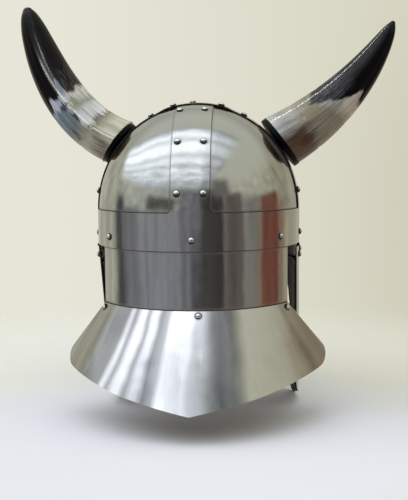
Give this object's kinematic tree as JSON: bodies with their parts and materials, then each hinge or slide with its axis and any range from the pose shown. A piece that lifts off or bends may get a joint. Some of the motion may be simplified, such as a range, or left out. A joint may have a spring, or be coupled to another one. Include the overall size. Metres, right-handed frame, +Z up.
{
  "type": "horned viking helmet",
  "caption": "Horned helmet of riveted steel plates with brow band, crossed straps, nose guard, flared neck guard, hinged cheek plates and natural horns on black discs.",
  "frame": {"origin": "middle of the brow rim, the oval lower edge of the brow band, in the plane in which the helmet sits round a head", "axes": "+Z up through the crown, +Y the way the wearer looks, +X to the wearer's right"},
  "size_m": [0.387, 0.3003, 0.4086],
  "materials": {
    "band_steel": "satin brushed steel sheet with soft reflections",
    "plate_steel": "satin brushed steel sheet with soft reflections",
    "hinge_steel": "plain mild steel strip",
    "rivet_steel": "domed steel rivet, worn bright",
    "fastener_steel": "plain mild steel",
    "left_horn": "polished natural horn, cream base to black tip",
    "right_horn": "polished natural horn, brown base to black tip",
    "plug_wood": "bare turned wood",
    "disc_wood": "wood with glossy black lacquer",
    "liner_leather": "vegetable-tanned brown leather",
    "lining_leather": "dark brown leather",
    "lace_leather": "dark round leather lace"
  },
  "bodies": {
    "helmet": {"brow_band": "band_steel", "ear_strap": "band_steel", "rear_left_bowl_plate": "plate_steel", "rear_right_bowl_plate": "plate_steel", "front_left_bowl_plate": "plate_steel", "front_right_bowl_plate": "plate_steel", "nape_plate": "plate_steel", "neck_flare": "plate_steel", "nasal_guard": "band_steel", "left_band_leaf": "hinge_steel", "left_hinge_pin": "hinge_steel", "left_horn": "left_horn", "left_horn_plug": "plug_wood", "left_base_disc": "disc_wood", "left_horn_washer": "fastener_steel", "left_horn_screw": "fastener_steel", "right_band_leaf": "hinge_steel", "right_hinge_pin": "hinge_steel", "right_horn": "right_horn", "right_horn_plug": "plug_wood", "right_base_disc": "disc_wood", "right_horn_washer": "fastener_steel", "right_horn_screw": "fastener_steel", "leather_liner": "liner_leather", "crown_lace": "lace_leather", "liner_burrs": "fastener_steel", "strap_rivets": "rivet_steel", "ear_strap_rivets": "rivet_steel", "crown_rivet": "rivet_steel", "band_rivets": "rivet_steel", "hinge_rivets": "rivet_steel", "nasal_rivets": "rivet_steel", "flare_rivets": "rivet_steel"},
    "left_cheek": {"left_cheek_plate": "plate_steel", "left_cheek_leaf": "hinge_steel", "left_cheek_lining": "lining_leather", "left_cheek_rivets": "rivet_steel"},
    "right_cheek": {"right_cheek_plate": "plate_steel", "right_cheek_leaf": "hinge_steel", "right_cheek_lining": "lining_leather", "right_cheek_rivets": "rivet_steel"}
  },
  "joints": [
    {"name": "left_cheek_hinge", "type": "hinge", "parent": "helmet", "child": "left_cheek", "pos_m": [-0.1015, -0.006, -0.0017], "axis": [0, 1, 0], "range_deg": [-7.5, 94.5]},
    {"name": "right_cheek_hinge", "type": "hinge", "parent": "helmet", "child": "right_cheek", "pos_m": [0.1015, -0.006, -0.0017], "axis": [0, -1, 0], "range_deg": [-12, 90]}
  ]
}
